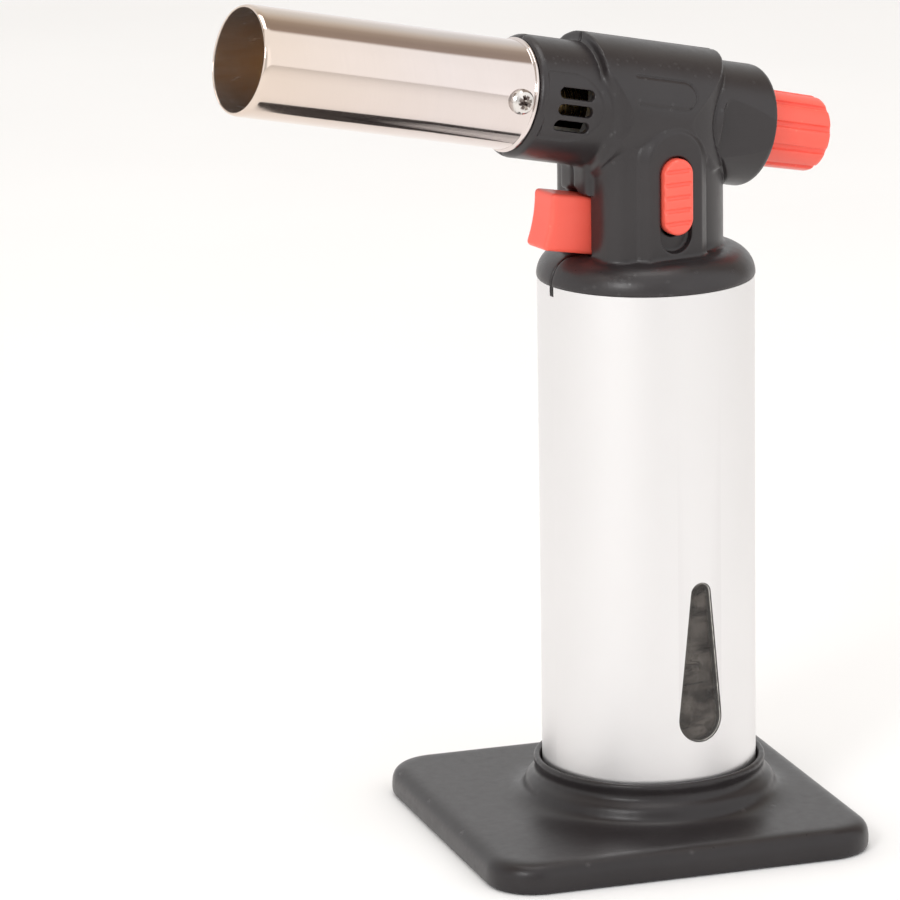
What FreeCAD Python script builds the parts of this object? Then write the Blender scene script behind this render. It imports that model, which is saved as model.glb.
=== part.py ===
import FreeCAD, Part
import os, math
from FreeCAD import Vector as V, Placement, Rotation

# Hand torch for butane gas: a cylindrical gas canister with a moulded clamshell
# head on top, a stainless flame tube, a pull trigger, a sliding lock, a flame
# knob and a separate push-on stand.
# Frame: origin on the canister axis at the underside of the stand, +Z up,
# +X towards the flame (horizontal part), +Y the torch's left side. Millimetres.

# ---------------------------------------------------------------- dimensions
CAN_R = 25.0            # canister skin, outside radius
CAN_WALL = 0.8
CAN_Z0 = 7.0            # lower edge of the skin
CAN_Z1 = 130.7          # upper edge of the skin
TANK_R = 24.0           # inner fuel tank, outside radius
TANK_WALL = 1.8

BAR_Z = 168.35          # height at which the barrel axis crosses the canister axis
BAR_TILT = 12.4         # barrel axis, degrees above horizontal
NOZ_R = 12.4            # flame tube outside radius
NOZ_WALL = 0.8
NOZ_S0 = 31.9           # flame tube, rear end along the barrel axis
NOZ_S1 = 105.7          # flame tube, front rim
NECK_R = 14.0           # front neck of the housing
NECK_S1 = 36.0
COLLAR_R = 14.1         # rear collar of the housing
COLLAR_S0 = -27.6
THUMB_S, THUMB_Y, THUMB_RUN = -13.0, 12.1, 6.6   # thumb face: front wall, floor, run-out angle
HEAD_R = 16.4           # barrel-shaped head
WALL = 2.0              # housing wall

COL_FRONT = 17.3        # column, front face
COL_W = 14.8            # column, half width
COL_REAR = 17.7         # column, rear semi-axis about X = -1
SHO_R = 25.2            # shoulder ring
SHO_FILLET = 6.3
SHO_Z1 = 137.3          # top of the shoulder

TRG_Z = 141.3           # trigger axis crosses the canister axis here
TRG_TILT = 11.0         # trigger travel direction, degrees above horizontal
TRG_TRAVEL = 4.5
TRG_W = 9.0             # trigger width
TRG_H = 13.2            # trigger height

LOCK_X = 2.0            # sliding lock, centre
LOCK_Z = 151.95
LOCK_W = 7.5
LOCK_H = 17.6
LOCK_TRAVEL = 4.0

KNOB_R = 9.0
KNOB_S1 = -46.0
KNOB_GROOVES = 10

STAND_SIDE = 92.5
STAND_T = 7.0
STAND_R = 11.5          # corner radius
STAND_EDGE = 3.3        # top edge rounding
STAND_YAW = -11.1       # stand turned on the canister, degrees
STAND_OFF = 5.7         # stand centre ahead of the canister axis
RING_IN = 25.3          # socket bore
RING_Z1 = 16.5

WIN_AZ = 88.3           # direction of the level window, degrees from +X
WIN_ZA, WIN_RA = 60.5, 2.6
WIN_ZB, WIN_RB = 30.6, 5.6

os.makedirs("parts", exist_ok=True)
PB = Placement(V(0, 0, BAR_Z), Rotation(V(0, 1, 0), -BAR_TILT))
PT = Placement(V(0, 0, TRG_Z), Rotation(V(0, 1, 0), -TRG_TILT))
X, Y, Z = V(1, 0, 0), V(0, 1, 0), V(0, 0, 1)


# ------------------------------------------------------------------- helpers
def box(x0, x1, y0, y1, z0, z1):
    return Part.makeBox(x1 - x0, y1 - y0, z1 - z0, V(x0, y0, z0))


def cyl(r, p, d, h):
    return Part.makeCylinder(r, h, V(*p), d)


def cz(r, z0, z1, x=0.0, y=0.0):
    return Part.makeCylinder(r, z1 - z0, V(x, y, z0), Z)


def cx(r, s0, s1, y=0.0, t=0.0):
    return Part.makeCylinder(r, s1 - s0, V(s0, y, t), X)


def tubez(r1, r0, z0, z1, x=0.0, y=0.0):
    return cz(r1, z0, z1, x, y).cut(cz(r0, z0 - 1, z1 + 1, x, y))


def face(pts):
    """Planar face from points; a 3-tuple ('a', mid, end) entry is an arc."""
    edges, last = [], None
    for q in pts:
        if q[0] == 'a':
            edges.append(Part.Arc(last, q[1], q[2]).toShape())
            last = q[2]
        else:
            p = q[1]
            if last is not None and last.distanceToPoint(p) > 1e-7:
                edges.append(Part.LineSegment(last, p).toShape())
            last = p
    return Part.Face(Part.Wire(Part.__sortEdges__(edges)))


def rev_z(prof):
    """Revolve (r, z) points about Z."""
    w = Part.makePolygon([V(r, 0, z) for r, z in prof] + [V(prof[0][0], 0, prof[0][1])])
    return Part.Face(w).revolve(V(0, 0, 0), Z, 360)


def rev_x(prof):
    """Revolve (s, r) points about X."""
    w = Part.makePolygon([V(s, 0, r) for s, r in prof] + [V(prof[0][0], 0, prof[0][1])])
    return Part.Face(w).revolve(V(0, 0, 0), X, 360)


def place(s, pl):
    s = s.copy()
    s.Placement = pl.multiply(s.Placement)
    return s


def arcpts(c, r, a0, a1, n):
    return [(c[0] + r * math.cos(math.radians(a0 + (a1 - a0) * i / n)),
             c[1] + r * math.sin(math.radians(a0 + (a1 - a0) * i / n))) for i in range(n + 1)]


def outline(front, w, rear, corner, z):
    """Plan outline: flat front, rounded front corners, elliptical rear."""
    c = corner
    k = c * math.sqrt(0.5)
    pts = [V(front - c, w, z), V(-1, w, z)]
    n = 24
    rearp = [V(-1 - rear * math.sin(math.pi * i / n), w * math.cos(math.pi * i / n), z) for i in range(n + 1)]
    bs = Part.BSplineCurve()
    bs.interpolate(rearp, InitialTangent=V(-1, 0, 0), FinalTangent=V(1, 0, 0))
    edges = [Part.LineSegment(pts[0], pts[1]).toShape(), bs.toShape(),
             Part.LineSegment(V(-1, -w, z), V(front - c, -w, z)).toShape(),
             Part.Arc(V(front - c, -w, z), V(front - c + k, -w + c - k, z), V(front, -w + c, z)).toShape(),
             Part.LineSegment(V(front, -w + c, z), V(front, w - c, z)).toShape(),
             Part.Arc(V(front, w - c, z), V(front - c + k, w - c + k, z), V(front - c, w, z)).toShape()]
    return Part.Face(Part.Wire(edges))


def prism(front, w, rear, corner, z0, z1):
    return outline(front, w, rear, corner, z0).extrude(V(0, 0, z1 - z0))


def stadium_y(x, z, w, h, y0, y1):
    """Upright stadium in the XZ plane, extruded along Y."""
    r = w / 2.0
    b = box(x - r, x + r, y0, y1, z - h / 2 + r, z + h / 2 - r)
    return b.fuse([cyl(r, (x, y0, z - h / 2 + r), Y, y1 - y0),
                   cyl(r, (x, y0, z + h / 2 - r), Y, y1 - y0)]).removeSplitter()


def coil(r, wire, z0, z1, turns, x=0.0, y=0.0):
    """Compression spring about a vertical axis."""
    h = (z1 - z0) - 2 * wire
    hel = Part.makeHelix(h / turns, h, r)
    hel.translate(V(x, y, z0 + wire))
    c = Part.Wire([Part.Circle(V(x + r, y, z0 + wire), V(0, 1, h / turns / (2 * math.pi * r)), wire).toShape()])
    return Part.Wire(hel).makePipeShell([c], True, True)


def routed(points, radii, r):
    """Round tube along straight runs joined by tangent arcs."""
    P = [V(*p) for p in points]
    edges, last = [], P[0]
    for i in range(1, len(P) - 1):
        a = (P[i - 1] - P[i]).normalize()
        b = (P[i + 1] - P[i]).normalize()
        ang = a.getAngle(b)
        d = radii[i - 1] / math.tan(ang / 2)
        p0, p1 = P[i] + a * d, P[i] + b * d
        bis = (a + b).normalize()
        mid = P[i] + bis * (radii[i - 1] / math.sin(ang / 2) - radii[i - 1])
        edges.append(Part.LineSegment(last, p0).toShape())
        edges.append(Part.Arc(p0, mid, p1).toShape())
        last = p1
    edges.append(Part.LineSegment(last, P[-1]).toShape())
    w = Part.Wire(edges)
    c = Part.Wire([Part.Circle(P[0], P[1] - P[0], r).toShape()])
    return w.makePipeShell([c], True, True)


def fillet_try(s, r, pick):
    es = [e for e in s.Edges if pick(e)]
    if not es:
        return s
    try:
        f = s.makeFillet(r, es)
        if f.isValid() and f.Volume > 0.5 * s.Volume:
            return f
    except Exception:
        pass
    return s


def out(name, s):
    if s.ShapeType == "Compound" and len(s.Solids) == 1:
        s = s.Solids[0]
    assert s.isValid(), name
    assert s.Solids, name
    s.exportStep("parts/%s.step" % name)
    b = s.BoundBox
    print("%-20s solids %d vol %9.2f  x %.1f..%.1f y %.1f..%.1f z %.1f..%.1f" % (
        name, len(s.Solids), s.Volume, b.XMin, b.XMax, b.YMin, b.YMax, b.ZMin, b.ZMax))


# --------------------------------------------------------- housing, outside
# upright body that carries the barrel: one plan outline all the way up
head = prism(18.3, HEAD_R, 17.4, 6.9, 156, 195)
head = head.common(place(cx(HEAD_R, -40, 40), PB))
head = fillet_try(head, 1.6, lambda e: True if (e.Length > 20 and e.BoundBox.ZMax > 176 and e.BoundBox.ZMin > 150
                                                  and abs(e.BoundBox.XMax - e.BoundBox.XMin) < 14) else False)
# the head's front face leans back over its upper part
lean = Part.Face(Part.makePolygon([V(18.3, -20, 175), V(26, -20, 175), V(26, -20, 196), V(15.6, -20, 196), V(18.3, -20, 175)]))
head = head.cut(lean.extrude(V(0, 40, 0)))
column = prism(COL_FRONT, COL_W, COL_REAR, 6.2, 131, 170)
spine = box(10, 19.3, -6.3, 6.3, 134, 166)
spine = fillet_try(spine, 1.6, lambda e: abs(e.BoundBox.ZLength - 32) < 0.01 and e.BoundBox.XMin > 19)
# the spine ends at the trigger's top, so the trigger's sides meet the column
spine = spine.cut(place(box(0, 40, -10, 10, -40, TRG_H / 2 + 0.35), PT))
neck = rev_x([(0, 0), (0, NECK_R), (NECK_S1 - 1.3, NECK_R), (NECK_S1 - 0.5, NECK_R - 0.35),
              (NECK_S1, NECK_R - 0.95), (NECK_S1, 0)])
collar = rev_x([(0, 0), (0, COLLAR_R), (COLLAR_S0 + 1.2, COLLAR_R), (COLLAR_S0 + 0.35, COLLAR_R - 0.35),
                (COLLAR_S0, COLLAR_R - 1.2), (COLLAR_S0, 0)])
shoulder = rev_z([(0, 123.4), (24.1, 123.4), (24.1, CAN_Z1 + 0.02), (SHO_R, CAN_Z1 + 0.02), (SHO_R, 131.0)]
                 + arcpts((SHO_R - SHO_FILLET, SHO_Z1 - SHO_FILLET), SHO_FILLET, 0, 90, 10)[1:] + [(0, SHO_Z1)])
# raised arch round the sliding lock, left side only
def arch(hw, y):
    zt = 159.8
    return Part.Wire([Part.LineSegment(V(LOCK_X - hw, y, 136.9), V(LOCK_X - hw, y, zt)).toShape(),
                      Part.Arc(V(LOCK_X - hw, y, zt), V(LOCK_X, y, zt + hw), V(LOCK_X + hw, y, zt)).toShape(),
                      Part.LineSegment(V(LOCK_X + hw, y, zt), V(LOCK_X + hw, y, 136.9)).toShape(),
                      Part.LineSegment(V(LOCK_X + hw, y, 136.9), V(LOCK_X - hw, y, 136.9)).toShape()])
boss = Part.makeLoft([arch(9.4, 14.4), arch(9.0, 15.3)], True, True).fuse(
    Part.makeLoft([arch(9.0, 15.3), arch(6.7, 17.1)], True, True))
outer = head.fuse([column, spine, place(neck, PB), place(collar, PB), shoulder, boss])

# ---------------------------------------------------------- housing, inside
cav = prism(14.7, HEAD_R - WALL, 15.4, 5.5, 150, 195).common(place(cx(HEAD_R - WALL, -40, 40), PB))
colcav = prism(COL_FRONT - WALL, COL_W - WALL, COL_REAR - WALL, 4.5, 122, 168)
shocav = rev_z([(0, 122), (22.3, 122), (22.3, 130.9), (19.4, 134.6), (0, 134.6)])
bore_front = rev_x([(10, 0), (10, 11.8), (NOZ_S0 - 0.2, 11.8), (NOZ_S0 - 0.2, NOZ_R + 0.05),
                    (40, NOZ_R + 0.05), (40, 0)])
bore_rear = rev_x([(-30, 0), (-30, 9.75), (-21.4, 9.75), (-21.4, 5.05), (-16.85, 5.05), (-16.85, 6.65),
                   (-10, 6.65), (-10, 0)])
inner = cav.fuse([colcav, shocav, place(bore_front, PB), place(bore_rear, PB)])

# screw bosses run across the shell between the side walls
BOSS_R, BOSS_HOLE = 2.7, 1.25
screws = []        # x, z in the torch frame
for s, t in ((11.0, 11.0), (-9.5, 11.0)):
    p = PB.multVec(V(s, 0, t))
    screws.append((p.x, p.z))
screws += [(-11.8, 151.0), (12.2, 157.2)]
# half width of the outside at each screw
half_out = [math.sqrt(HEAD_R ** 2 - 11.0 ** 2)] * 2 + [11.3, 12.6]
bosses = [cyl(BOSS_R, (x, -14, z), Y, 28) for x, z in screws]
posts = bosses[0].fuse(bosses[1:]).common(outer)
inner = inner.cut(posts)
# an end wall carries the rear of the barrel cavity down to the collar bore
housing = outer.cut(inner)

# trigger window, tilted with the trigger
TW, TH = TRG_W / 2 + 0.35, TRG_H / 2 + 0.35
housing = housing.cut(place(box(8, 30, -TW, TW, -TH, TH), PT))
# small relief above the trigger, where the two shells meet
housing = housing.cut(place(box(15, 22.5, -1.7, 1.7, TH - 0.2, TH + 0.9), PT))

# lock pocket and the slot through its floor
pocket = stadium_y(LOCK_X, LOCK_Z - LOCK_TRAVEL / 2.0, LOCK_W + 0.7, LOCK_H + LOCK_TRAVEL + 0.7, 15.2, 19)
slot = stadium_y(LOCK_X, LOCK_Z - LOCK_TRAVEL / 2.0 - 0.2, 5.4, 14.6, 10, 19)
housing = housing.cut(pocket).cut(slot)

# flat recessed thumb faces on both sides of the collar
for sgn in (1, -1):
    y0, y1 = (THUMB_Y, 22) if sgn > 0 else (-22, -THUMB_Y)
    pad = box(-46, THUMB_S, y0, y1, -6.9, 8.2)
    front = [e for e in pad.Edges if e.BoundBox.YLength > 5 and e.BoundBox.XMin > THUMB_S - 0.1]
    pad = pad.makeFillet(4.6, [e for e in front if e.BoundBox.ZMin > 8])
    front = [e for e in pad.Edges if e.BoundBox.YLength > 5 and e.BoundBox.XMin > THUMB_S - 0.1 and e.BoundBox.ZMax < -6.8]
    pad = pad.makeFillet(2.2, front)
    # deepest at its front wall, running out at the collar's end
    pad.rotate(V(THUMB_S, sgn * THUMB_Y, 0), Z, -sgn * THUMB_RUN)
    housing = housing.cut(place(pad, PB))

# air slots in the neck inside a shallow D-shaped panel, on both sides
def dee(s0, s1, hw, y0, y1):
    b = box(s0 + hw, s1, y0, y1, -hw, hw)
    return b.fuse(cyl(hw, (s0 + hw, y0, 0), Y, y1 - y0))
SLOT_T, SLOT_PITCH = -0.5, 3.7
skin = rev_x([(15, NECK_R - 0.35), (36.5, NECK_R - 0.35), (36.5, NECK_R + 6), (15, NECK_R + 6)])
for sgn in (1, -1):
    y0, y1 = (5, 20) if sgn > 0 else (-20, -5)
    housing = housing.cut(place(dee(19.6, NECK_S1 - 1.6, 7.7, y0, y1).common(skin), PB))
    for k in (-1, 0, 1):
        tk = SLOT_T + SLOT_PITCH * k
        sl = box(23.1, 29.7, y0, y1, tk - 1.2, tk + 1.2).fuse(
            [cyl(1.2, (23.1, y0, tk), Y, y1 - y0), cyl(1.2, (29.7, y0, tk), Y, y1 - y0)])
        housing = housing.cut(place(sl, PB))
# engraved open outline on each side of the head, closed towards the rear
U0, U1, UR, UC = 11.8, -0.6, 3.1, 6.0
def uface(r):
    return box(U1, U0, 3, 25, UC - r, UC + r).fuse(cyl(r, (U1, 3, UC), Y, 22))
ring = uface(UR + 0.22).cut(uface(UR - 0.22)).cut(box(U0 - 0.01, U0 + 5, 0, 30, -5, 20))
ring = ring.cut(cx(HEAD_R - 0.35, -40, 40))
housing = housing.cut(place(ring, PB)).cut(place(ring.mirror(V(0, 0, 0), Y), PB))

# lip that fills the small notch in the front of the skin
housing = housing.fuse(box(23.0, CAN_R - 0.05, -0.55, 0.55, 128.6, CAN_Z1 + 0.1))
# parting groove over the front of the shoulder
housing = housing.cut(rev_z([(SHO_R - 0.55, 128.5), (SHO_R + 1, 128.5), (SHO_R + 1, 138), (SHO_R - 1.6, 138),
                             (SHO_R - 1.6, 134.9), (SHO_R - 0.55, 132.5)]).common(box(10, 40, -0.3, 0.3, 129, 138)))

# screws enter from the right side: sunk head pockets right, pilot holes left
pilots, clear, sinks, screw_solids = [], [], [], []
for (x, z), ho in zip(screws, half_out):
    pilots.append(cyl(BOSS_HOLE, (x, 0.0, z), Y, ho - 2.2))
    clear.append(cyl(1.6, (x, -ho - 3, z), Y, ho + 3))
    sinks.append(cyl(2.75, (x, -ho - 4, z), Y, 6.4))
    hy = -ho + 2.4
    shaft = cyl(1.2, (x, hy - 0.5, z), Y, (ho - 2.6) - (hy - 0.5) - 0.3)
    cap = cyl(2.5, (x, hy - 1.95, z), Y, 1.9)
    cap = cap.makeFillet(0.7, [e for e in cap.Edges if abs(e.CenterOfMass.y - (hy - 1.95)) < 0.01 and e.Length > 10])
    cr = box(x - 1.5, x + 1.5, hy - 3, hy - 0.9, z - 0.3, z + 0.3).fuse(box(x - 0.3, x + 0.3, hy - 3, hy - 0.9, z - 1.5, z + 1.5))
    screw_solids.append(cap.fuse(shaft).cut(cr).removeSplitter())
left = housing.common(box(-60, 60, 0.05, 40, 100, 220)).cut(pilots[0].fuse(pilots[1:]))
right = housing.common(box(-60, 60, -40, -0.05, 100, 220)).cut(clear[0].fuse(clear[1:])).cut(sinks[0].fuse(sinks[1:]))
left = max(left.Solids, key=lambda q: q.Volume)
right = max(right.Solids, key=lambda q: q.Volume)
out("left_housing", left)
out("right_housing", right)
out("housing_screws", Part.makeCompound(screw_solids))

# --------------------------------------------------------------- flame tube
tube = rev_x([(NOZ_S0, NOZ_R - NOZ_WALL), (NOZ_S0, NOZ_R), (NOZ_S1 - 1.5, NOZ_R)]
             + [(NOZ_S1 - 1.5 + 1.5 * math.sin(math.radians(a)), NOZ_R - 1.5 + 1.5 * math.cos(math.radians(a)))
                for a in (20, 40, 60, 80, 100, 120)]
             + [(NOZ_S1 - 1.5 + 0.75 * math.sin(math.radians(a)), NOZ_R - 1.5 + 0.75 * math.cos(math.radians(a)))
                for a in (120, 95, 70, 45, 20)] + [(NOZ_S1 - 1.8, NOZ_R - NOZ_WALL)])
SCR_S = 40.4
# flared lip that seats against the front of the neck
tube = tube.fuse(rev_x([(NECK_S1 + 0.15, NOZ_R - 0.3), (NECK_S1 + 0.15, NOZ_R + 0.5), (NECK_S1 + 0.35, NOZ_R + 0.6),
                        (NECK_S1 + 0.75, NOZ_R + 0.6), (NECK_S1 + 0.95, NOZ_R + 0.4), (NECK_S1 + 1.0, NOZ_R - 0.3)]))
tube = tube.cut(cyl(1.6, (SCR_S, -20, 0), Y, 40))
out("nozzle_tube", place(tube, PB))
heads = []
for sgn in (1, -1):
    prof = [V(0, 0, 0), V(2.9, 0, 0)]
    rr = [(2.9, 0.0), (2.9, 0.7), (2.75, 1.2), (2.35, 1.65), (1.6, 2.0), (0.8, 2.15), (0.0, 2.2)]
    w = Part.makePolygon([V(0, 0, 0)] + [V(a, 0, b) for a, b in rr] + [V(0, 0, 0)])
    h = Part.Face(w).revolve(V(0, 0, 0), Z, 360)
    h = h.fuse(cz(1.4, -4.6, 0.0))
    cr = box(-1.7, 1.7, -0.4, 0.4, 0.7, 3).fuse(box(-0.4, 0.4, -1.7, 1.7, 0.7, 3)).fuse(
        Part.makeCone(0.3, 0.95, 1.4, V(0, 0, 0.7), Z))
    cr.rotate(V(0, 0, 0), Z, 20)
    h = h.cut(cr).removeSplitter()
    h.Placement = PB.multiply(Placement(V(SCR_S, sgn * (NOZ_R + 0.02), 0), Rotation(V(0, 0, 1), V(0, sgn, 0))))
    heads.append(h)
out("nozzle_screws", Part.makeCompound(heads))

# carrier inside the flame tube: ring, hub and three spokes
mount = cx(11.55, 20.0, 46.0).cut(cx(9.9, 19, 47))
hub = cx(5.7, 33, 38)
spokes = []
for a in (90, 210, 330):
    sp = box(33, 38, -1.0, 1.0, 4.5, 10.6)
    sp.rotate(V(0, 0, 0), X, a - 90)
    spokes.append(sp)
mount = mount.fuse([hub] + spokes)
for sgn in (1, -1):
    mount = mount.fuse(cyl(3.0, (SCR_S, 0, 0), V(0, sgn, 0), 11.0).cut(cyl(7.9, (SCR_S - 4, 0, 0), X, 8)))
mount = mount.common(cx(11.55, 19, 47)).cut(cx(4.25, 19, 47)).cut(cyl(1.45, (SCR_S, -20, 0), Y, 40))
mount = mount.cut(box(21.5, 32.2, -20, 20, -6.2, 6.2))
out("burner_carrier", place(mount.removeSplitter(), PB))

# mixing tube: bell over the valve nose, venturi, straight front, air holes
mix = rev_x([(-2.3, 4.15), (-2.3, 4.9), (6.0, 4.9), (9.0, 4.2), (50.0, 4.2), (50.0, 3.3), (20.0, 3.3),
             (14.0, 2.6), (9.5, 3.3), (6.5, 4.15)])
for a in (0, 90):
    h = cyl(1.3, (7.6, -8, 0), Y, 16)
    h.rotate(V(0, 0, 0), X, a + 45)
    mix = mix.cut(h)
out("mixing_tube", place(mix, PB))
# flame holder on the end of the mixing tube
fh = cx(5.3, 46.5, 58.0).fuse(cx(11.2, 52.0, 55.0)).cut(cx(4.25, 46, 50.2)).cut(cx(3.2, 50, 56.5))
for n, rr, r in ((16, 9.3, 0.8), (10, 6.9, 0.7)):
    for i in range(n):
        a = 2 * math.pi * (i + 0.5) / n
        fh = fh.cut(cx(r, 51, 56, rr * math.cos(a), rr * math.sin(a)))
for i in range(6):
    a = 2 * math.pi * i / 6
    fh = fh.cut(cx(0.6, 55, 59, 1.9 * math.cos(a), 1.9 * math.sin(a)))
fh = fh.cut(cx(2.0, 51, 56, 0, -7.3))
out("flame_holder", place(fh, PB))

# ignition: ceramic sleeve and electrode under the mixing tube
cer = cx(1.6, 14, 50, 0, -7.3).cut(cx(0.6, 13, 51, 0, -7.3))
out("electrode_insulator", place(cer, PB))
el = cx(0.5, 12.5, 59, 0, -7.3).fuse([Part.makeSphere(0.5, V(59, 0, -7.3)),
                                     Part.makeCylinder(0.5, 3.2, V(59, 0, -7.3), V(0.7, 0, 0.7))])
out("spark_electrode", place(el, PB))

# --------------------------------------------- flame knob and needle valve
nv = rev_x([(-21.3, 0), (-21.3, 5.0), (-16.8, 5.0), (-16.8, 6.6), (-9.0, 6.6), (-8.0, 4.0), (0.8, 4.0), (0.8, 0)])
nv = nv.fuse(cyl(1.4, (-4.0, 0, 0), V(0, 0, -1), 8.0))
nv = nv.cut(rev_x([(-22, 0), (-22, 2.06), (-7.5, 2.06), (-7.5, 1.3), (-2.2, 1.3), (-1.0, 0.5), (1.5, 0.5), (1.5, 0)]))
nv = nv.cut(cyl(0.7, (-4.0, 0, -1.0), V(0, 0, -1), 8.0))
nv = nv.cut(rev_x([(-19.8, 0), (-19.8, 3.0), (-18.2, 3.0), (-18.2, 0)]))
out("needle_valve_body", place(nv, PB))
oring = Part.makeTorus(2.55, 0.42, V(-19.0, 0, 0), X)
out("spindle_oring", place(oring, PB))
jet = rev_x([(0.85, 0), (0.85, 2.6), (3.2, 2.6), (5.2, 1.3), (5.2, 0)]).cut(cx(0.3, 0, 6))
out("gas_jet", place(jet, PB))
sp = rev_x([(-36.0, 0), (-36.0, 2.0), (-9.0, 2.0), (-8.0, 1.0), (-3.4, 1.0), (-2.2, 0.15), (-2.2, 0)])
sp = sp.cut(rev_x([(-19.75, 2.1), (-19.75, 1.98), (-18.25, 1.98), (-18.25, 2.1)]))
out("knob_spindle", place(sp, PB))

kn = rev_x([(-22.0, 2.005), (-22.0, 8.6), (-26.2, 8.9), (-28.0, KNOB_R), (-44.8, 8.75), (-45.6, 8.45), (KNOB_S1, 7.9),
            (KNOB_S1, 3.0), (-45.4, 0.0), (-36.2, 0.0), (-36.2, 2.005)])
for i in range(KNOB_GROOVES):
    g = box(-50, -27.0, -0.7, 0.7, KNOB_R - 0.75, KNOB_R + 3)
    g.rotate(V(-27.0, 0, KNOB_R - 0.75), Y, -1.0)
    g.rotate(V(0, 0, 0), X, 360.0 * i / KNOB_GROOVES - 3.4)
    kn = kn.cut(g)
out("flame_knob", place(kn, PB))

# ------------------------------------------------------------------ trigger
T2, H2 = TRG_W / 2, TRG_H / 2
f = face([('p', V(12.4, 0, -H2)), ('p', V(28.7, 0, -H2)), ('a', V(28.0, 0, -0.4), V(28.7, 0, H2)),
          ('p', V(12.4, 0, H2)), ('p', V(12.4, 0, -H2))])
tr = f.extrude(V(0, TRG_W, 0))
tr.translate(V(0, -T2, 0))
tr = fillet_try(tr, 0.9, lambda e: e.BoundBox.XMax > 27.5)
tr = tr.fuse(box(12.4, 13.9, -6.5, 6.5, -5.6, 7.9))
# tail that works the valve lever beside the igniter
tr = tr.fuse(box(4.4, 12.6, 5.2, 6.5, 0.0, 1.4))
# hollow back
tr = tr.cut(box(10, 24.5, -T2 + 1.6, T2 - 1.6, 3.4, H2 - 1.6)).cut(box(10, 24.5, -T2 + 1.6, T2 - 1.6, -H2 + 1.6, -3.4))
out("trigger", place(tr.removeSplitter(), PT))

# piezo igniter: case, plunger, spring and terminal lead
pz = box(-11.5, 7.4, -4.1, 4.1, -4.1, 4.1)
pz = pz.makeFillet(0.8, [e for e in pz.Edges if e.BoundBox.XLength > 10])
pz = pz.cut(cx(2.95, -3.2, 8)).fuse(cyl(1.5, (-8.5, 0, 4.0), Z, 1.2))
out("piezo_case", place(pz, PT))
pl = cx(2.85, 3.4, 12.4)
out("piezo_plunger", place(pl, PT))
ps = coil(2.1, 0.3, 0.0, 1.9, 2.0)
ps.Placement = PT.multiply(Placement(V(-3.15, 0, 0), Rotation(V(0, 0, 1), V(1, 0, 0)))).multiply(ps.Placement)
out("piezo_spring", ps)
a = PT.multVec(V(-8.5, 0, 5.2))
b = PT.multVec(V(-8.5, 0, 8.4))
c = PB.multVec(V(12.4, 0, -7.3))
d = PB.multVec(V(8.2, 0, -7.3))
lead = routed([(a.x, 0, a.z), (b.x, 0, b.z), (2.6, 3.2, 153.4), (d.x, 0, d.z), (c.x, 0, c.z)], [2.4, 3.5, 2.6], 0.75)
out("spark_lead", lead)

# ------------------------------------------------------------- sliding lock
btn = stadium_y(LOCK_X, LOCK_Z, LOCK_W, LOCK_H, 15.45, 18.7)
btn = btn.makeFillet(0.75, [e for e in btn.Edges if e.BoundBox.YLength < 0.01 and e.BoundBox.YMin > 18.6])
for k in range(5):
    zz = LOCK_Z + 3.0 * (k - 2)
    btn = btn.cut(box(LOCK_X - 3.0, LOCK_X + 6, 18.2, 20, zz - 0.45, zz + 0.45))
btn = btn.fuse(stadium_y(LOCK_X, LOCK_Z, 4.6, 9.4, 11.2, 15.7))
out("lock_button", btn.removeSplitter())
catch = box(LOCK_X - 4.0, LOCK_X + 4.0, 11.3, 12.4, LOCK_Z - 7.0, LOCK_Z + 7.0)
catch = catch.makeFillet(1.0, [e for e in catch.Edges if e.BoundBox.YLength > 0.9])
catch = catch.cut(stadium_y(LOCK_X, LOCK_Z, 4.62, 9.42, 10, 14))
out("lock_catch", catch)

# -------------------------------------------------------------- gas outlet
VX = -1.0
lid = cz(TANK_R - TANK_WALL - 0.05, 117.5, 121.0).fuse(cz(TANK_R, 121.0, 123.0)).fuse(cz(6.2, 112.5, 127.4, VX))
lid = lid.cut(cz(4.02, 110, 130, VX))
out("tank_lid", lid.removeSplitter())
vb = cz(4.0, 114.0, 130.6, VX).fuse(cyl(1.3, (VX, -2, 129.25), V(0, -1, 0), 5.0))
vb = vb.fuse(cz(1.9, 112.2, 114.0, VX))
vb = vb.cut(cz(2.9, 116.0, 124.0, VX)).cut(cz(1.26, 123.5, 131, VX)).cut(cz(0.6, 112, 116.5, VX))
vb = vb.cut(cyl(0.6, (VX, -1.5, 129.25), V(0, -1, 0), 7))
out("valve_body", vb.removeSplitter())
st = cz(1.2, 123.0, 132.2, VX).fuse(cz(2.5, 122.2, 123.2, VX))
out("valve_stem", st.removeSplitter())
out("valve_seal", tubez(2.8, 1.27, 123.35, 123.95, VX))
out("valve_spring", coil(2.1, 0.28, 116.1, 122.1, 4.0, VX))
out("fuel_wick", cz(1.8, 21.2, 112.1, VX))
br = tubez(8.6, 6.25, 123.05, 124.4, VX).fuse([box(0.4, 3.6, -8.9, -7.5, 123.05, 124.4)])
for y0, y1 in ((-4.5, -3.1), (7.2, 8.6)):
    lug = box(0.3, 3.7, y0, y1, 127.5, 135.5)
    br = br.fuse(lug)
br = br.fuse(box(4.9, 6.6, -4.5, 8.6, 123.05, 128.9)).fuse(box(0.3, 6.6, -4.5, -3.1, 127.6, 128.9)).fuse(box(0.3, 6.6, 7.2, 8.6, 127.6, 128.9))
br = br.cut(cz(4.05, 120, 131, VX)).cut(cz(6.25, 120, 127.5, VX)).cut(cyl(0.82, (2.0, -10, 133.9), Y, 22))
out("valve_bracket", br.removeSplitter())
lv = box(-2.0, 3.6, -2.4, 2.4, 132.9, 134.9).fuse(box(0.6, 3.4, 2.0, 6.8, 132.9, 134.9)).fuse(box(1.0, 3.0, 5.2, 6.8, 132.9, 143.5))
lv = lv.cut(cyl(0.86, (2.0, -10, 133.9), Y, 22))
out("valve_lever", lv.removeSplitter())
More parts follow.
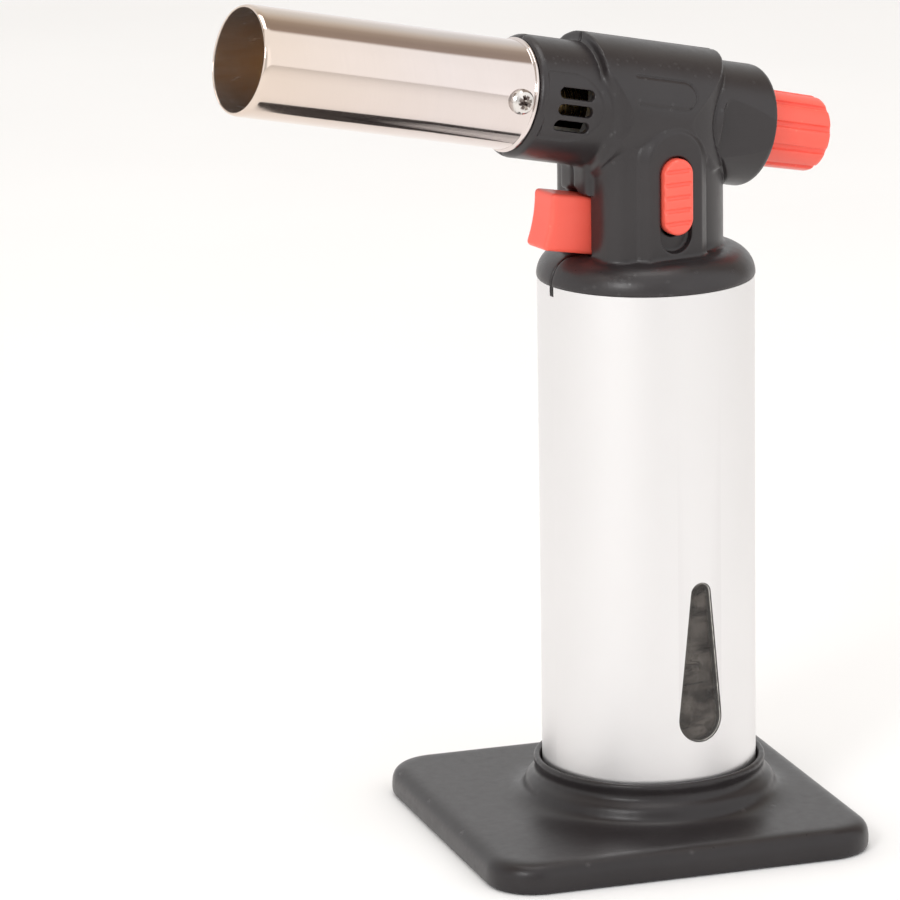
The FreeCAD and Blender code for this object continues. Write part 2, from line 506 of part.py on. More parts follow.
out("lever_pin", cyl(0.8, (2.0, -4.9, 133.9), Y, 14.0))
e = PB.multVec(V(-4.0, 0, -8.0))
g = PB.multVec(V(-4.0, 0, -12.4))
hose = routed([(VX, -7.0, 129.25), (VX, -10.3, 129.25), (VX - 0.3, -10.1, 148.0), (g.x, 0, g.z), (e.x, 0, e.z)],
              [3.0, 5.0, 3.2], 1.6)
out("gas_hose", hose)

# ---------------------------------------------------------------- canister
def radial(s):
    s = s.copy()
    s.rotate(V(0, 0, 0), Z, WIN_AZ)
    return s
def teardrop(grow, x0, x1):
    za, ra, zb, rb = WIN_ZA, WIN_RA + grow, WIN_ZB, WIN_RB + grow
    al = math.asin((rb - ra) / (za - zb))
    ca, sa = math.cos(al), math.sin(al)
    pA, pB = V(x0, ra * ca, za + ra * sa), V(x0, rb * ca, zb + rb * sa)
    qA, qB = V(x0, -ra * ca, za + ra * sa), V(x0, -rb * ca, zb + rb * sa)
    w = Part.Wire([Part.LineSegment(pB, pA).toShape(), Part.Arc(pA, V(x0, 0, za + ra), qA).toShape(),
                   Part.LineSegment(qA, qB).toShape(), Part.Arc(qB, V(x0, 0, zb - rb), pB).toShape()])
    return radial(Part.Face(w).extrude(V(x1 - x0, 0, 0)))
skin = tubez(CAN_R, CAN_R - CAN_WALL, CAN_Z0, CAN_Z1)
skin = skin.cut(teardrop(0, 15, 30)).cut(box(20, 30, -0.85, 0.85, 128.4, 135))
out("canister_skin", skin)
lens = tubez(CAN_R - 0.28, TANK_R + 0.06, 10, 100).common(teardrop(-0.06, 15, 30))
out("level_window", lens)
tank = cz(TANK_R, 10.0, 121.0 - 0.02).cut(cz(TANK_R - TANK_WALL, 12.4, 122)).cut(cz(4.3, 9, 14))
# thinned wall behind the level window
tank = tank.cut(teardrop(-0.25, 22.8, 30))
out("fuel_tank", tank)
cap = cz(CAN_R - CAN_WALL - 0.03, CAN_Z0 + 0.3, 9.95).cut(cz(5.6, 5, 12))
out("bottom_cap", cap)
fvb = cz(5.5, 7.6, 9.95).fuse(cz(4.25, 9.9, 20.6)).cut(cz(2.8, 11.0, 19.1)).cut(cz(1.28, 5, 12)).cut(cz(0.6, 17, 21))
out("fill_valve_body", fvb.removeSplitter())
out("fill_valve_stem", cz(1.2, 7.9, 12.0).fuse(cz(2.4, 12.0, 13.0)).removeSplitter())
out("fill_valve_seal", tubez(2.7, 1.3, 11.05, 11.7))
out("fill_valve_spring", coil(2.1, 0.28, 13.05, 19.05, 4.0))

# ------------------------------------------------------------------- stand
def rsquare(half, rad, z0, z1):
    b = box(-half, half, -half, half, z0, z1)
    return b.makeFillet(rad, [e for e in b.Edges if e.BoundBox.ZLength > 0.5 * (z1 - z0) and e.BoundBox.XLength < 0.01 and e.BoundBox.YLength < 0.01])
H = STAND_SIDE / 2
plate = rsquare(H, STAND_R, 0, STAND_T)
plate = plate.makeFillet(STAND_EDGE, [e for e in plate.Edges if e.BoundBox.ZMin > STAND_T - 0.01])
hollow = rsquare(H - 3.0, STAND_R - 3.0, -1, 4.2)
hollow = hollow.cut(box(-H, H, -1.1, 1.1, -2, 6)).cut(box(-1.1, 1.1, -H, H, -2, 6))
feet = []
FP = H - 11.0
for sx in (-1, 1):
    for sy in (-1, 1):
        hollow = hollow.cut(cz(6.6, -2, 6, sx * FP, sy * FP))
        feet.append(cz(5.2, 0.0, 1.9, sx * FP, sy * FP))
SP = Placement(V(0, 0, 0), Rotation(V(0, 0, 1), STAND_YAW)).multiply(Placement(V(STAND_OFF, 0, 0), Rotation()))
hollow = place(hollow, SP).cut(cz(30.5, -2, 6))
plate = place(plate, SP)
prof = ([(0, 3), (0, 6.6), (RING_IN, 6.6), (RING_IN, RING_Z1 - 0.6), (RING_IN + 0.5, RING_Z1), (26.6, RING_Z1)]
        + [(27.1, 16.3), (27.35, 15.8), (27.3, 15.1), (26.9, 14.4), (26.6, 13.6), (26.6, 12.8), (27.0, 12.1),
           (27.7, 11.7), (28.5, 11.4), (29.1, 10.8), (29.35, 10.1), (29.3, 9.4), (29.4, 8.7), (30.1, 8.0), (31.3, 7.5),
           (33.0, 7.15), (35.5, 6.98), (35.5, 3)])
ring = rev_z(prof)
stand = plate.cut(hollow).fuse(ring).cut(cz(RING_IN, 6.6, 30)).cut(place(
    cz(5.25, -1, 1.95, FP, FP).fuse([cz(5.25, -1, 1.95, -FP, FP), cz(5.25, -1, 1.95, FP, -FP), cz(5.25, -1, 1.95, -FP, -FP)]), SP))
out("stand", stand.removeSplitter())
out("stand_feet", place(Part.makeCompound(feet), SP))
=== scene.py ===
import bpy, math
import numpy as np
from mathutils import Vector, Matrix


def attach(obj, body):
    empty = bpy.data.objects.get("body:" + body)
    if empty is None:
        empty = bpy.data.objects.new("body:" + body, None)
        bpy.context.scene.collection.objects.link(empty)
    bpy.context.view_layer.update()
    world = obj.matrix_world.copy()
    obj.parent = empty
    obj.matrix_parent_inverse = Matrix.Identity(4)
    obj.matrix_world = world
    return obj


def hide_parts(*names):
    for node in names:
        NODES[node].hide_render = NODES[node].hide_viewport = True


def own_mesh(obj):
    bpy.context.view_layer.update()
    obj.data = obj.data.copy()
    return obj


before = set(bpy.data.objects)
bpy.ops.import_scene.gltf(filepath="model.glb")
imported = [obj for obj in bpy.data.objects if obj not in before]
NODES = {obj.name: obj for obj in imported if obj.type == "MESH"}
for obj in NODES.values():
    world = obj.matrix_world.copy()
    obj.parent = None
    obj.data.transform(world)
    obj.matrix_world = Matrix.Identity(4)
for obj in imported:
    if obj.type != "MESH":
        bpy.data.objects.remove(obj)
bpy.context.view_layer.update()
SC = bpy.context.scene
MM = 0.001
TILT = math.radians(12.4)
BAR_Z = 168.35


# ------------------------------------------------------------ material tools
class Tree:
    """Small helper for building one node material."""

    def __init__(self, name):
        self.m = bpy.data.materials.new(name)
        self.m.use_nodes = True
        self.t = self.m.node_tree
        self.t.nodes.clear()
        self.out = self.t.nodes.new("ShaderNodeOutputMaterial")
        self.b = self.t.nodes.new("ShaderNodeBsdfPrincipled")
        self.link(self.b.outputs[0], self.out.inputs["Surface"])
        self.co = self.t.nodes.new("ShaderNodeTexCoord").outputs["Object"]

    def link(self, a, b):
        self.t.links.new(a, b)

    def put(self, sock, v):
        if hasattr(v, "links") or isinstance(v, bpy.types.NodeSocket):
            self.link(v, sock)
        elif isinstance(v, (tuple, list)):
            v = tuple(v)
            sock.default_value = v + (1.0,) if len(v) == 3 and sock.type == "RGBA" else v
        else:
            sock.default_value = v

    def set(self, **kw):
        names = {"color": "Base Color", "metallic": "Metallic", "rough": "Roughness", "ior": "IOR",
                 "spec": "Specular IOR Level", "coat": "Coat Weight", "coat_rough": "Coat Roughness",
                 "trans": "Transmission Weight", "sss": "Subsurface Weight", "aniso": "Anisotropic",
                 "normal": "Normal", "alpha": "Alpha", "sheen": "Sheen Weight"}
        for k, v in kw.items():
            self.put(self.b.inputs[names[k]], v)

    def mapped(self, scale=(1, 1, 1), rot=(0, 0, 0), loc=(0, 0, 0), src=None):
        n = self.t.nodes.new("ShaderNodeMapping")
        n.inputs["Scale"].default_value = scale
        n.inputs["Rotation"].default_value = rot
        n.inputs["Location"].default_value = loc
        self.link(src or self.co, n.inputs["Vector"])
        return n.outputs[0]

    def noise(self, scale, detail=3.0, rough=0.55, vec=None, dist=0.0):
        n = self.t.nodes.new("ShaderNodeTexNoise")
        n.inputs["Scale"].default_value = scale
        n.inputs["Detail"].default_value = detail
        n.inputs["Roughness"].default_value = rough
        n.inputs["Distortion"].default_value = dist
        self.link(vec or self.co, n.inputs["Vector"])
        return n.outputs["Fac"]

    def voronoi(self, scale, vec=None, feature="F1", rand=1.0):
        n = self.t.nodes.new("ShaderNodeTexVoronoi")
        n.feature = feature
        n.inputs["Scale"].default_value = scale
        n.inputs["Randomness"].default_value = rand
        self.link(vec or self.co, n.inputs["Vector"])
        return n.outputs["Distance"]

    def ramp(self, fac, *stops):
        n = self.t.nodes.new("ShaderNodeValToRGB")
        self.link(fac, n.inputs[0])
        e = n.color_ramp.elements
        while len(e) > 1:
            e.remove(e[-1])
        for i, (p, c) in enumerate(stops):
            c = (c, c, c) if isinstance(c, (int, float)) else c
            el = e[0] if i == 0 else e.new(p)
            el.position = p
            el.color = tuple(c) + (1.0,)
        return n.outputs[0]

    def mix(self, fac, a, b, mode="MIX"):
        n = self.t.nodes.new("ShaderNodeMix")
        n.data_type = "RGBA"
        n.blend_type = mode
        self.put(n.inputs[0], fac)
        self.put(n.inputs[6], a)
        self.put(n.inputs[7], b)
        return n.outputs[2]

    def math(self, op, a, b=0.0, c=0.0, clamp=False):
        n = self.t.nodes.new("ShaderNodeMath")
        n.operation = op
        n.use_clamp = clamp
        self.put(n.inputs[0], a)
        self.put(n.inputs[1], b)
        if op in ("MULTIPLY_ADD", "SMOOTH_MIN", "COMPARE"):
            self.put(n.inputs[2], c)
        return n.outputs[0]

    def range(self, v, a0, a1, b0, b1):
        n = self.t.nodes.new("ShaderNodeMapRange")
        self.put(n.inputs[0], v)
        for k, x in zip((1, 2, 3, 4), (a0, a1, b0, b1)):
            n.inputs[k].default_value = x
        return n.outputs[0]

    def point(self):
        return self.t.nodes.new("ShaderNodeNewGeometry").outputs["Pointiness"]

    def xyz(self, vec=None):
        n = self.t.nodes.new("ShaderNodeSeparateXYZ")
        self.link(vec or self.co, n.inputs[0])
        return n.outputs

    def bump(self, height, strength, distance, normal=None):
        n = self.t.nodes.new("ShaderNodeBump")
        n.inputs["Strength"].default_value = strength
        n.inputs["Distance"].default_value = distance
        self.link(height, n.inputs["Height"])
        if normal is not None:
            self.link(normal, n.inputs["Normal"])
        return n.outputs[0]


def plastic(name, dark, light, rough=0.42, grain=0.35, wear=(0.08, 0.078, 0.078), edge=0.35, lo=0.515, hi=0.60,
            spec=0.5, coat=0.0, dust=0.25, sss=0.0):
    t = Tree(name)
    big = t.noise(38, 4)
    mid = t.noise(420, 4, 0.6)
    fine = t.noise(5200, 2, 0.5)
    col = t.mix(t.ramp(big, (0.30, 0.0), (0.70, 1.0)), dark, light)
    col = t.mix(t.ramp(mid, (0.35, 0.0), (0.75, 0.35)), col, light)
    specks = t.ramp(t.voronoi(1500), (0.0, 1.0), (0.045, 0.0))
    col = t.mix(t.math("MULTIPLY", specks, dust), col, wear)
    worn = t.ramp(t.math("ADD", t.point(), t.math("MULTIPLY", t.math("SUBTRACT", t.noise(260, 5), 0.5), 0.07)),
                  (lo, 0.0), (hi, 1.0))
    col = t.mix(t.math("MULTIPLY", worn, edge), col, wear)
    # hairline scuffs in two directions
    s1 = t.noise(900, 2, 0.5, t.mapped((1.0, 0.05, 1.0), (0.3, 0.5, 0.7)))
    s2 = t.noise(1100, 2, 0.5, t.mapped((0.05, 1.0, 1.0), (0.9, 0.2, 0.4)))
    scuff = t.math("MAXIMUM", t.ramp(s1, (0.70, 0.0), (0.80, 1.0)), t.ramp(s2, (0.72, 0.0), (0.82, 1.0)))
    r = t.range(mid, 0.2, 0.8, rough - 0.05, rough + 0.06)
    r = t.math("SUBTRACT", r, t.math("MULTIPLY", worn, 0.08))
    r = t.math("ADD", r, t.math("MULTIPLY", scuff, 0.07))
    h = t.math("ADD", fine, t.math("MULTIPLY", mid, 0.5))
    n = t.bump(h, grain, 0.00006)
    n = t.bump(big, 0.25, 0.0004, n)
    t.set(color=col, rough=r, normal=n, spec=spec, coat=coat, sss=sss)
    if coat:
        t.set(coat_rough=0.3)
    if sss:
        t.b.inputs["Subsurface Radius"].default_value = (0.0015, 0.0006, 0.0004)
        t.b.inputs["Subsurface Scale"].default_value = 1.0
    return t.m


def metal(name, base, alt, rough, vary=0.08, line=None, grain=0.15, tint=None, pits=0.0, big_scale=60):
    """line is (scale, stretch, rotation) of the polishing marks."""
    t = Tree(name)
    big = t.noise(big_scale, 4)
    col = t.mix(t.ramp(big, (0.30, 0.0), (0.72, 1.0)), base, alt)
    worn = t.ramp(t.point(), (0.50, 0.0), (0.60, 1.0))
    col = t.mix(t.math("MULTIPLY", worn, 0.3), col, tuple(min(1.0, c * 1.12) for c in base))
    if line:
        lines = t.noise(line[0], 3, 0.65, t.mapped(line[1], line[2]))
    else:
        lines = t.noise(2400, 3, 0.6)
    smudge = t.noise(140, 5, 0.6, dist=0.6)
    r = t.math("ADD", t.range(lines, 0.3, 0.7, rough - vary / 2, rough + vary / 2),
               t.range(smudge, 0.4, 0.8, 0.0, vary * 0.5))
    col = t.mix(t.range(lines, 0.35, 0.75, 0.0, 0.10), col, tuple(c * 0.75 for c in base))
    if pits:
        p = t.ramp(t.voronoi(900), (0.0, 1.0), (0.08, 0.0))
        col = t.mix(t.math("MULTIPLY", p, pits), col, tuple(c * 0.5 for c in base))
    if tint:
        col = tint(t)(col)
    n = t.bump(lines, grain, 0.00003)
    t.set(color=col, rough=r, metallic=1.0, normal=n)
    return t.m


M = {}
M["black_plastic"] = plastic("black_plastic", (0.0205, 0.0168, 0.0176), (0.0280, 0.0234, 0.0242), 0.33, 0.30, dust=0.0, lo=0.53, hi=0.62)
# a darker copy of the black plastic: the darker base colour is painted shade for the shaded front of the stand
M["stand_plastic"] = plastic("stand_plastic", (0.0165, 0.0136, 0.0144), (0.0240, 0.0202, 0.0210), 0.31, 0.4,
                             spec=0.38, wear=(0.09, 0.084, 0.084), dust=0.0, lo=0.53, hi=0.62)
M["coral_plastic"] = plastic("coral_plastic", (0.93, 0.110, 0.074), (0.98, 0.135, 0.092), 0.36, 0.22,
                             wear=(1.0, 0.22, 0.16), edge=0.5, dust=0.03, sss=0.12)
M["black_screw"] = metal("black_screw", (0.05, 0.05, 0.052), (0.08, 0.08, 0.082), 0.35, 0.15)


def heat(t):
    """Straw tempering towards the mouth of the flame tube."""
    def f(col):
        s = t.xyz(t.mapped((1, 1, 1), (0, TILT, 0), (0, 0, 0)))[0]
        wob = t.math("ADD", s, t.math("MULTIPLY", t.math("SUBTRACT", t.noise(90, 3), 0.5), 0.012))
        k = t.range(wob, 0.096, 0.142, 0.0, 1.0)
        straw = t.ramp(k, (0.0, 0.0), (0.45, 0.22), (1.0, 0.45))
        return t.mix(straw, col, (0.74, 0.58, 0.43))
    return f


M["stainless"] = metal("stainless", (0.775, 0.693, 0.664), (0.745, 0.664, 0.630), 0.075, 0.05,
                       line=(1.0, (5200, 60, 60), (0, TILT, 0)), grain=0.05, tint=heat)
M["stainless_inside"] = metal("stainless_inside", (0.90, 0.85, 0.82), (0.84, 0.77, 0.71), 0.22, 0.10,
                              line=(1.0, (60, 1400, 1400), (0, TILT, 0)), grain=0.2)


def recess_painted_shade(t):
    """Painted shade in the cross recess of the flame tube's screws, and painted shade darkening each head towards its
    rim.
    """
    def f(col):
        v = t.xyz(t.mapped((1, 1, 1), (0, TILT, 0), (-0.0404 - 0.16835 * math.sin(TILT), 0, -0.16835 * math.cos(TILT))))
        ca, sa = math.cos(math.radians(20)), math.sin(math.radians(20))
        a = t.math("ABSOLUTE", t.math("ADD", t.math("MULTIPLY", v[0], ca), t.math("MULTIPLY", v[2], sa)))
        b = t.math("ABSOLUTE", t.math("SUBTRACT", t.math("MULTIPLY", v[2], ca), t.math("MULTIPLY", v[0], sa)))
        lo, hi = t.math("MINIMUM", a, b), t.math("MAXIMUM", a, b)
        # painted shade in the cross recess
        m = t.math("MULTIPLY", t.range(lo, 0.00036, 0.00058, 1.0, 0.0), t.range(hi, 0.00145, 0.0018, 1.0, 0.0))
        # painted shade darkening the head towards its rim
        head_rim_shade = t.range(t.math("SQRT", t.math("ADD", t.math("MULTIPLY", a, a), t.math("MULTIPLY", b, b))), 0.0024, 0.0029, 0.0, 0.30)
        m = t.math("MULTIPLY", m, t.range(t.noise(1800, 3), 0.3, 0.6, 0.75, 1.0))
        return t.mix(t.math("MAXIMUM", m, head_rim_shade), col, (0.10, 0.072, 0.062))
    return f


M["screw_steel"] = metal("screw_steel", (0.80, 0.765, 0.735), (0.70, 0.665, 0.635), 0.16, 0.08, pits=0.1, tint=recess_painted_shade)
M["zinc_cast"] = metal("zinc_cast", (0.50, 0.50, 0.51), (0.42, 0.42, 0.43), 0.46, 0.18, grain=0.5, pits=0.35)
M["brass"] = metal("brass", (0.80, 0.58, 0.27), (0.70, 0.47, 0.20), 0.26, 0.14,
                   line=(1.0, (4200, 120, 120), (0, TILT, 0)), grain=0.12)
M["steel"] = metal("steel", (0.60, 0.60, 0.61), (0.50, 0.50, 0.52), 0.28, 0.12)


def satin_aluminium():
    t = Tree("satin_aluminium")
    big = t.noise(26, 4)
    grain = t.noise(3800, 3, 0.6)
    hair = t.noise(1.0, 3, 0.6, t.mapped((2600, 2600, 90)))
    col = t.mix(t.ramp(big, (0.3, 0.0), (0.75, 1.0)), (0.745, 0.727, 0.729), (0.715, 0.698, 0.701))
    col = t.mix(t.ramp(grain, (0.35, 0.0), (0.75, 0.22)), col, (0.70, 0.685, 0.687))
    worn = t.ramp(t.point(), (0.51, 0.0), (0.60, 1.0))
    col = t.mix(t.math("MULTIPLY", worn, 0.4), col, (0.97, 0.965, 0.96))
    r = t.math("ADD", t.range(grain, 0.25, 0.75, 0.34, 0.44), t.range(t.noise(60, 5, 0.6), 0.45, 0.8, 0.0, 0.05))
    h = t.math("ADD", grain, t.math("MULTIPLY", hair, 0.4))
    t.set(color=col, rough=r, metallic=1.0, normal=t.bump(h, 0.30, 0.00003))
    return t.m


M["satin_aluminium"] = satin_aluminium()


def simple(name, a, b, rough, scale=900, grain=0.3, dist=0.00008, **kw):
    t = Tree(name)
    n1 = t.noise(scale, 4, 0.6)
    n2 = t.noise(scale * 0.08, 3)
    worn = t.ramp(t.point(), (0.51, 0.0), (0.6, 1.0))
    col = t.mix(t.ramp(n2, (0.3, 0.0), (0.7, 1.0)), a, b)
    col = t.mix(t.math("MULTIPLY", t.ramp(n1, (0.4, 0.0), (0.8, 1.0)), 0.5), col, b)
    col = t.mix(t.math("MULTIPLY", worn, 0.25), col, tuple(min(1.0, c * 1.5 + 0.02) for c in b))
    t.set(color=col, rough=t.range(n1, 0.25, 0.75, rough - 0.06, rough + 0.06), normal=t.bump(n1, grain, dist), **kw)
    return t.m


M["ceramic"] = simple("ceramic", (0.84, 0.82, 0.77), (0.78, 0.75, 0.69), 0.30, 1500, 0.12)
M["rubber"] = simple("rubber", (0.016, 0.016, 0.017), (0.030, 0.029, 0.030), 0.72, 2600, 0.5)
M["hose_rubber"] = simple("hose_rubber", (0.020, 0.019, 0.019), (0.036, 0.034, 0.033), 0.60, 2200, 0.4)
M["lead_sleeve"] = simple("lead_sleeve", (0.50, 0.03, 0.02), (0.60, 0.05, 0.035), 0.42, 2200, 0.2)
M["wick_fibre"] = simple("wick_fibre", (0.72, 0.66, 0.54), (0.60, 0.53, 0.41), 0.92, 3200, 0.9)


WIN = (math.cos(math.radians(88.3)), math.sin(math.radians(88.3)))


def tank_plastic():
    """Smoky translucent fuel tank with moulding flow lines, and painted shade on the walls of the pocket behind the
    window lens.
    """
    t = Tree("tank_plastic")
    big = t.noise(70, 4)
    streak = t.noise(1.0, 4, 0.7, t.mapped((900, 900, 110), (0.5, 0.35, 0.2)), dist=1.2)
    fine = t.noise(2600, 3)
    col = t.mix(t.ramp(big, (0.3, 0.0), (0.7, 1.0)), (0.300, 0.262, 0.225), (0.420, 0.375, 0.328))
    col = t.mix(t.ramp(streak, (0.56, 0.0), (0.66, 0.55)), col, (0.78, 0.73, 0.67))
    col = t.mix(t.ramp(streak, (0.34, 0.45), (0.42, 0.0)), col, (0.085, 0.072, 0.062))
    v = t.xyz()
    depth = t.math("ADD", t.math("MULTIPLY", v[0], WIN[0]), t.math("MULTIPLY", v[1], WIN[1]))
    # painted shade: the pocket walls behind the window, out past 22.85 mm towards the lens, are painted near black
    col = t.mix(t.range(depth, 0.02285, 0.02300, 0.0, 0.95), col, (0.014, 0.012, 0.010))
    t.set(color=col, rough=t.range(fine, 0.3, 0.7, 0.20, 0.32), normal=t.bump(streak, 0.5, 0.0002), coat=0.3)
    t.set(coat_rough=0.08)
    return t.m


M["tank_plastic"] = tank_plastic()


def smoke_lens():
    t = Tree("smoke_lens")
    sc1 = t.noise(1.0, 3, 0.6, t.mapped((2600, 2600, 60), (0.75, 0.2, 0.1)))
    sc2 = t.noise(1.0, 3, 0.6, t.mapped((2600, 2600, 60), (-0.55, 0.4, 0.3)))
    s = t.math("MAXIMUM", t.ramp(sc1, (0.70, 0.0), (0.76, 1.0)), t.ramp(sc2, (0.71, 0.0), (0.77, 1.0)))
    flow = t.noise(1.0, 3, 0.6, t.mapped((110, 110, 230), (0.0, 0.35, 0.0)), dist=0.8)
    crease = t.noise(1.0, 2, 0.5, t.mapped((55, 55, 260), (0.0, -0.4, 0.1)), dist=0.5)
    line = t.range(t.math("ABSOLUTE", t.math("SUBTRACT", crease, 0.5)), 0.0, 0.016, 0.85, 0.0)
    col = t.mix(t.ramp(flow, (0.36, 0.0), (0.64, 1.0)), (0.022, 0.018, 0.016), (0.135, 0.118, 0.105))
    col = t.mix(line, col, (0.010, 0.008, 0.007))
    col = t.mix(t.math("MULTIPLY", s, 0.5), col, (0.42, 0.40, 0.37))
    v = t.xyz()
    a = t.math("SUBTRACT", t.math("MULTIPLY", v[1], WIN[0]), t.math("MULTIPLY", v[0], WIN[1]))
    rad = t.range(v[2], 0.0306, 0.0605, 0.0056, 0.0026)
    dz = t.math("SUBTRACT", v[2], t.math("MINIMUM", t.math("MAXIMUM", v[2], 0.0306), 0.0605))
    d = t.math("SUBTRACT", rad, t.math("SQRT", t.math("ADD", t.math("MULTIPLY", a, a), t.math("MULTIPLY", dz, dz))))
    # painted shade along the right inner side of the lens, and a painted highlight on its rim, stronger on the right
    painted_wall_shade = t.math("MULTIPLY", t.range(d, 0.0011, 0.0016, 1.0, 0.0), t.range(a, 0.0, 0.0022, 0.25, 1.0))
    col = t.mix(t.math("MULTIPLY", painted_wall_shade, 0.9), col, (0.012, 0.010, 0.008))
    # painted highlight: a light line along the lens rim, brighter on the right
    painted_rim_highlight = t.math("MULTIPLY", t.range(d, 0.00008, 0.00018, 0.0, 1.0), t.range(d, 0.00034, 0.00050, 1.0, 0.0))
    painted_rim_highlight = t.math("MULTIPLY", painted_rim_highlight, t.range(a, -0.003, 0.003, 0.12, 1.0))
    painted_rim_highlight = t.math("MULTIPLY", painted_rim_highlight, t.ramp(t.noise(420, 3), (0.35, 0.25), (0.6, 1.0)))
    col = t.mix(painted_rim_highlight, col, (0.58, 0.56, 0.52))
    r = t.math("ADD", 0.08, t.math("MULTIPLY", s, 0.25))
    al = t.math("ADD", t.math("ADD", 0.55, t.math("MULTIPLY", painted_wall_shade, 0.35)), t.math("MULTIPLY", line, 0.3), clamp=True)
    al = t.math("MAXIMUM", al, t.math("MULTIPLY", painted_rim_highlight, 0.95))
    t.set(color=col, rough=r, alpha=al, ior=1.5, normal=t.bump(flow, 0.25, 0.0003))
    return t.m


M["smoke_lens"] = smoke_lens()

for name, o in NODES.items():
    for i, sl in enumerate(o.material_slots):
        base = sl.material.name.split(".")[0] if sl.material else ""
        key = base if base in M else None
        if key is None:
            raise RuntimeError("no finish for %s on %s" % (base, name))
        sl.material = M[key]


# ---------------------------------------------------------------- mesh tools
def add(name, mesh, body, slot, *nodes, smooth=True):
    o = bpy.data.objects.new(name, mesh)
    SC.collection.objects.link(o)
    if smooth:
        for p in mesh.polygons:
            p.use_smooth = True
    mesh.materials.clear()
    mesh.materials.append(M[slot])
    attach(o, body)
    if nodes:
        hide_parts(*nodes)
    return o


def coords(me):
    a = np.empty(len(me.vertices) * 3, np.float32)
    me.vertices.foreach_get("co", a)
    return a.reshape(-1, 3).astype(np.float64)


def put_coords(me, co):
    me.vertices.foreach_set("co", co.astype(np.float32).ravel())
    me.update()


def voxel_copy(node, voxel):
    """A closed even-quad copy of a CAD node's skin."""
    me = NODES[node].data.copy()
    o = bpy.data.objects.new("tmp", me)
    SC.collection.objects.link(o)
    md = o.modifiers.new("r", "REMESH")
    md.mode = "VOXEL"
    md.voxel_size = voxel * MM
    md.adaptivity = 0.0
    dg = bpy.context.evaluated_depsgraph_get()
    new = bpy.data.meshes.new_from_object(o.evaluated_get(dg))
    bpy.data.objects.remove(o)
    bpy.data.meshes.remove(me)
    for a in [x.name for x in new.color_attributes]:
        new.color_attributes.remove(new.color_attributes[a])
    return new


def relax(me, iters, weight=None, lam=0.5):
    """Rounds edges as a mould does: repeated averaging, with an optional weight per vertex."""
    co = coords(me)
    e = np.empty(len(me.edges) * 2, np.int32)
    me.edges.foreach_get("vertices", e)
    e = e.reshape(-1, 2)
    n = len(co)
    deg = np.bincount(e[:, 0], minlength=n) + np.bincount(e[:, 1], minlength=n)
    deg = np.maximum(deg, 1)
    w = lam if weight is None else (lam * weight(co / MM))
    for _ in range(iters):
        s = np.stack([np.bincount(e[:, 0], co[e[:, 1], k], n) + np.bincount(e[:, 1], co[e[:, 0], k], n)
                      for k in range(3)], 1) / deg[:, None]
        d = s - co
        co = co + (d * w if np.isscalar(w) else d * w[:, None])
    put_coords(me, co)
    return me


def bar(co):
    """Torch frame (mm) to barrel frame s, y, t."""
    c, s = math.cos(TILT), math.sin(TILT)
    x, y, z = co[:, 0], co[:, 1], co[:, 2] - BAR_Z
    return x * c + z * s, y, -x * s + z * c


def smoothstep(a, b, v):
    t = np.clip((v - a) / (b - a), 0, 1)
    return t * t * (3 - 2 * t)


# -------------------------------------------------------------- housing shells
def seg_dist(px, py, pts):
    """Distance from points to a polyline."""
    best = np.full(px.shape, 1e9)
    for (ax, ay), (bx, by) in zip(pts[:-1], pts[1:]):
        dx, dy = bx - ax, by - ay
        L = dx * dx + dy * dy
        t = np.clip(((px - ax) * dx + (py - ay) * dy) / L, 0, 1)
        best = np.minimum(best, np.hypot(px - ax - t * dx, py - ay - t * dy))
    return best


U_PATH = ([(12.0, 9.15)] + [(-0.6 - 3.1 * math.sin(math.radians(a)), 6.05 + 3.1 * math.cos(math.radians(a)))
                            for a in range(0, 181, 12)] + [(11.6, 2.95)])


CREASE = []
for q in range(-90, 91, 5):
    yy, tt = 14.1 * math.cos(math.radians(q)), 14.1 * math.sin(math.radians(q))
    xx = -1 - 17.4 * math.sqrt(max(0.0, 1 - (yy / 16.4) ** 2))
    CREASE.append(((xx + tt * math.sin(TILT)) / math.cos(TILT), q))


